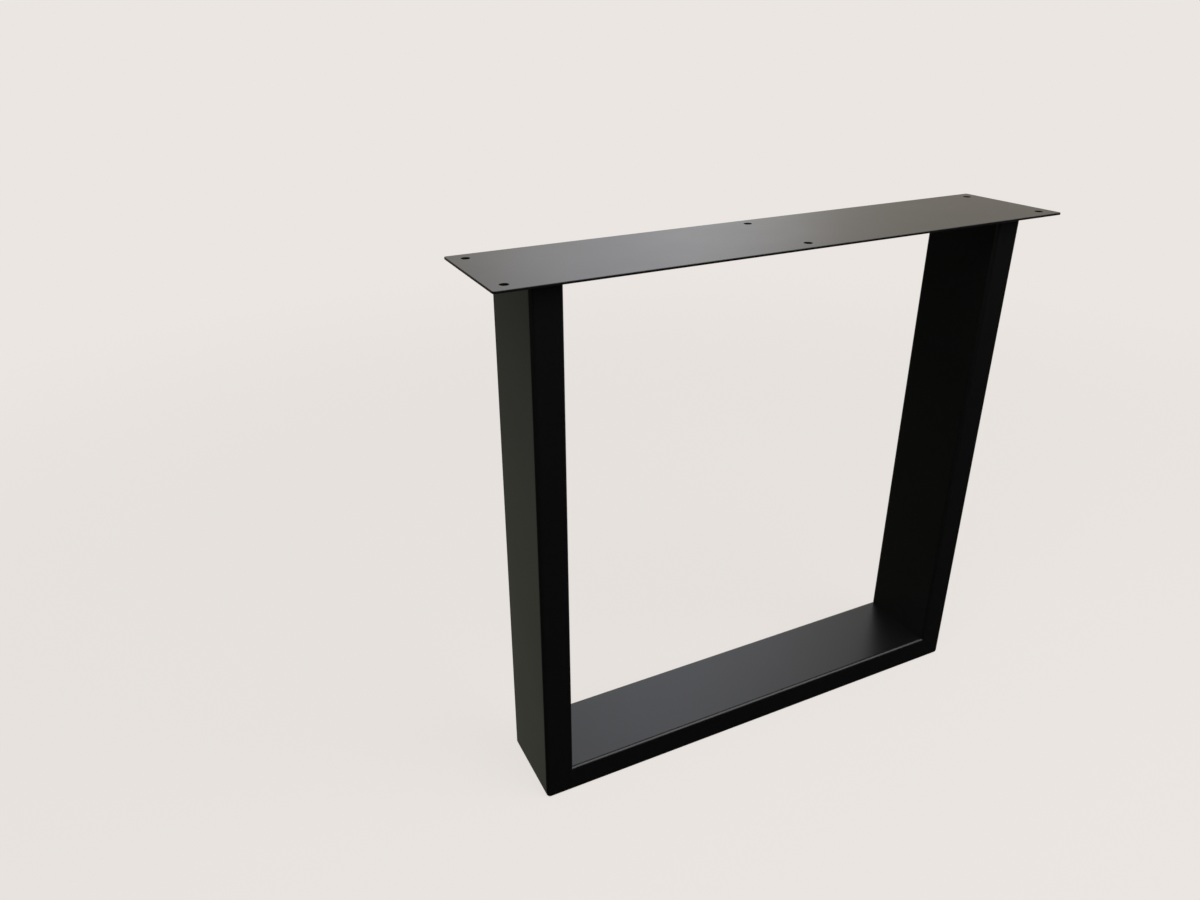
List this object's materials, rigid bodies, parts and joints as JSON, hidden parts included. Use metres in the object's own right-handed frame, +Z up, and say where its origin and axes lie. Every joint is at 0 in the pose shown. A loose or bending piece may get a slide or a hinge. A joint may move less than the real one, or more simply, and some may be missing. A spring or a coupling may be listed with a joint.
{
  "type": "u shaped table leg",
  "caption": "U shaped table leg of rectangular steel tube with mitred lower corners and a flat screw plate across its top, in satin black powder coat.",
  "frame": {"origin": "on the floor, at the middle of the rail's underside", "axes": "+X along the plate and the rail, +Y through the depth of the frame, +Z up to the plate"},
  "size_m": [0.818, 0.164, 0.74],
  "materials": {
    "powder_coat": "satin black powder coat with a fine texture",
    "coated_weld": "satin black powder coat over a weld bead"
  },
  "bodies": {
    "root": {"top_plate": "powder_coat", "left_upright": "powder_coat", "right_upright": "powder_coat", "floor_rail": "powder_coat", "left_corner_weld": "powder_coat", "right_corner_weld": "powder_coat", "left_plate_weld": "coated_weld", "right_plate_weld": "coated_weld"}
  },
  "joints": []
}
